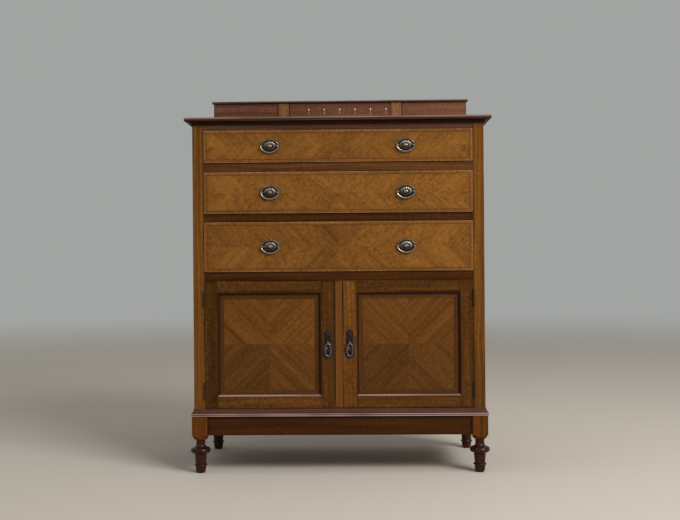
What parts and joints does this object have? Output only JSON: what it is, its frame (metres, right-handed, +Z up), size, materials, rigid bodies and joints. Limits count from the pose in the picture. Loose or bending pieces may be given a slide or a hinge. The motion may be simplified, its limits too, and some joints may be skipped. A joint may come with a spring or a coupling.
{
  "type": "chiffonier",
  "caption": "Upright wooden chest with long drawers above a cupboard with a pair of panelled doors, a low back gallery and short turned feet.",
  "frame": {"origin": "on the floor, at the middle of the bounding box", "axes": "+X to the viewer's right, +Y to the back, +Z up; the drawers and doors face -Y"},
  "size_m": [0.96, 0.48, 1.234],
  "materials": {
    "mahogany_dark": "polished, dark red-brown",
    "mahogany_golden": "polished, golden brown",
    "mahogany_red": "polished, reddish",
    "drawer_veneer": "polished figured veneer",
    "panel_veneer": "polished quarter-matched veneer",
    "door_wood": "polished, brown",
    "satinwood": "polished, light",
    "pine": "bare, aged",
    "handle_brass": "antique, tarnished",
    "dark_bronze": "dark, nearly black patina",
    "hinge_brass": "dull, dark"
  },
  "bodies": {
    "carcase": {"front_posts": "mahogany_golden", "back_posts": "mahogany_golden", "side_rails": "mahogany_golden", "side_panels": "mahogany_golden", "top_rail": "mahogany_dark", "drawer_rails": "mahogany_dark", "bottom_rail": "mahogany_dark", "door_muntin": "mahogany_golden", "door_catches": "hinge_brass", "drawer_runners": "pine", "drawer_stops": "pine", "dust_board": "pine", "cupboard_floor": "pine", "cupboard_shelf": "pine", "shelf_bearers": "pine", "back_boards": "pine", "top_board": "mahogany_dark", "top_moulding": "mahogany_dark", "base_moulding": "mahogany_dark", "leg_front_left": "mahogany_dark", "leg_front_right": "mahogany_dark", "leg_back_left": "mahogany_dark", "leg_back_right": "mahogany_dark", "plinth_rails": "mahogany_dark", "gallery_board": "mahogany_red", "gallery_cap": "mahogany_dark", "gallery_blocks": "satinwood", "hinge_leaves": "hinge_brass", "hinge_pins": "hinge_brass"},
    "drawer_1": {"drawer_1_front": "drawer_veneer", "drawer_1_box": "pine", "drawer_1_bottom": "pine", "drawer_1_handles": "handle_brass"},
    "drawer_1_bail_left": {"drawer_1_bail_left": "handle_brass"},
    "drawer_1_bail_right": {"drawer_1_bail_right": "handle_brass"},
    "drawer_2": {"drawer_2_front": "drawer_veneer", "drawer_2_box": "pine", "drawer_2_bottom": "pine", "drawer_2_handles": "handle_brass"},
    "drawer_2_bail_left": {"drawer_2_bail_left": "handle_brass"},
    "drawer_2_bail_right": {"drawer_2_bail_right": "handle_brass"},
    "drawer_3": {"drawer_3_front": "drawer_veneer", "drawer_3_box": "pine", "drawer_3_bottom": "pine", "drawer_3_handles": "handle_brass"},
    "drawer_3_bail_left": {"drawer_3_bail_left": "handle_brass"},
    "drawer_3_bail_right": {"drawer_3_bail_right": "handle_brass"},
    "door_left": {"door_left_frame": "door_wood", "door_left_panel": "panel_veneer", "door_left_moulding": "door_wood", "door_left_hinges": "hinge_brass", "door_left_plate": "dark_bronze"},
    "door_left_drop": {"door_left_drop": "dark_bronze"},
    "door_right": {"door_right_frame": "door_wood", "door_right_panel": "panel_veneer", "door_right_moulding": "door_wood", "door_right_hinges": "hinge_brass", "door_right_plate": "dark_bronze"},
    "door_right_drop": {"door_right_drop": "dark_bronze"}
  },
  "joints": [
    {"name": "drawer_1_slide", "type": "slide", "parent": "carcase", "child": "drawer_1", "axis": [0, -1, 0], "range_m": [0, 0.35]},
    {"name": "drawer_1_bail_left_swing", "type": "hinge", "parent": "drawer_1", "child": "drawer_1_bail_left", "pos_m": [-0.2132, -0.2274, 1.0265], "axis": [-1, 0, 0], "range_deg": [0, 80]},
    {"name": "drawer_1_bail_right_swing", "type": "hinge", "parent": "drawer_1", "child": "drawer_1_bail_right", "pos_m": [0.2132, -0.2274, 1.0265], "axis": [-1, 0, 0], "range_deg": [0, 80]},
    {"name": "drawer_2_slide", "type": "slide", "parent": "carcase", "child": "drawer_2", "axis": [0, -1, 0], "range_m": [0, 0.35]},
    {"name": "drawer_2_bail_left_swing", "type": "hinge", "parent": "drawer_2", "child": "drawer_2_bail_left", "pos_m": [-0.2132, -0.2274, 0.881], "axis": [-1, 0, 0], "range_deg": [0, 80]},
    {"name": "drawer_2_bail_right_swing", "type": "hinge", "parent": "drawer_2", "child": "drawer_2_bail_right", "pos_m": [0.2132, -0.2274, 0.881], "axis": [-1, 0, 0], "range_deg": [0, 80]},
    {"name": "drawer_3_slide", "type": "slide", "parent": "carcase", "child": "drawer_3", "axis": [0, -1, 0], "range_m": [0, 0.35]},
    {"name": "drawer_3_bail_left_swing", "type": "hinge", "parent": "drawer_3", "child": "drawer_3_bail_left", "pos_m": [-0.2132, -0.2274, 0.711], "axis": [-1, 0, 0], "range_deg": [0, 80]},
    {"name": "drawer_3_bail_right_swing", "type": "hinge", "parent": "drawer_3", "child": "drawer_3_bail_right", "pos_m": [0.2132, -0.2274, 0.711], "axis": [-1, 0, 0], "range_deg": [0, 80]},
    {"name": "door_left_swing", "type": "hinge", "parent": "carcase", "child": "door_left", "pos_m": [-0.42225, -0.2203, 0.4045], "axis": [0, 0, -1], "range_deg": [0, 170]},
    {"name": "door_left_drop_swing", "type": "hinge", "parent": "door_left", "child": "door_left_drop", "pos_m": [-0.03425, -0.2238, 0.411], "axis": [-1, 0, 0], "range_deg": [0, 75]},
    {"name": "door_right_swing", "type": "hinge", "parent": "carcase", "child": "door_right", "pos_m": [0.42225, -0.2203, 0.4045], "axis": [0, 0, 1], "range_deg": [0, 170]},
    {"name": "door_right_drop_swing", "type": "hinge", "parent": "door_right", "child": "door_right_drop", "pos_m": [0.03425, -0.2238, 0.411], "axis": [-1, 0, 0], "range_deg": [0, 75]}
  ]
}
